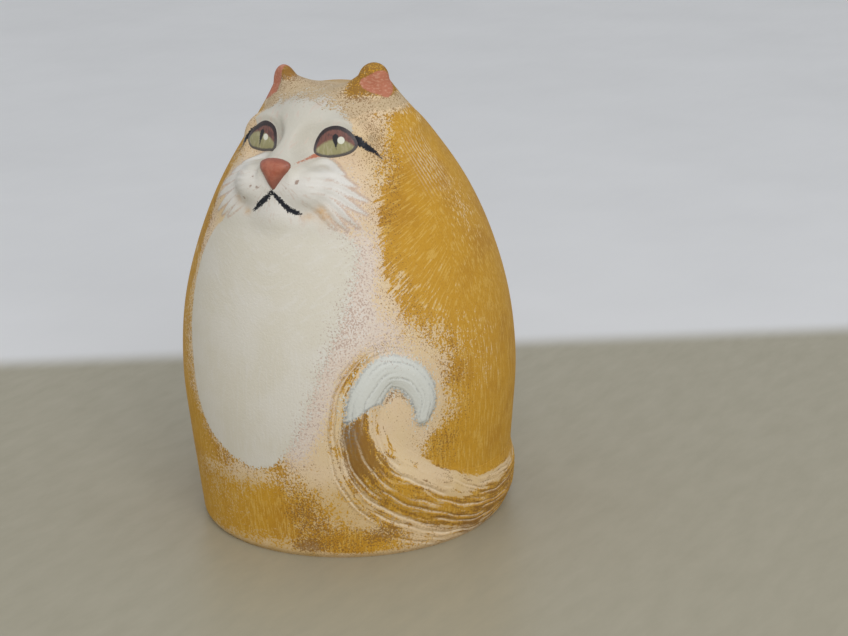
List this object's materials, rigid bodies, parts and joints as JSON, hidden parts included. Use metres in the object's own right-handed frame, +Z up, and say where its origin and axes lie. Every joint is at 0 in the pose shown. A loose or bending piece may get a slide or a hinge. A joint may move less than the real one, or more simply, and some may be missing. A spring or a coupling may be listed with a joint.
{
  "type": "ceramic cat figurine",
  "caption": "Egg-shaped seated cat figurine with a modelled face, cupped ears and a tail that curls up on the front, hollow, standing on a closed flat base.",
  "frame": {"origin": "middle of the underside, on the surface that the figurine stands on", "axes": "+Z up; the cat faces -Y; its own left side is +X"},
  "size_m": [0.0568, 0.0568, 0.0782],
  "materials": {
    "painted_body": "matte, ochre brushed over cream clay, off-white bib",
    "bare_clay": "matte, unpainted fired clay",
    "painted_ears": "matte, ochre rim with a coral cup",
    "painted_eyes": "satin, olive iris with a dark outline",
    "painted_nose": "satin coral",
    "painted_face": "matte off-white with fine brushed fur",
    "painted_tail": "matte, ochre and brown with combed cream lines and a white tip"
  },
  "bodies": {
    "root": {"body_shell": "painted_body", "base_disc": "bare_clay", "ear_left": "painted_ears", "ear_right": "painted_ears", "eye_left": "painted_eyes", "eye_right": "painted_eyes", "nose": "painted_nose", "nose_bridge": "painted_face", "muzzle_left": "painted_face", "muzzle_right": "painted_face", "chin": "painted_face", "cheek_ruff_left": "painted_face", "cheek_ruff_right": "painted_face", "tail": "painted_tail"}
  },
  "joints": []
}
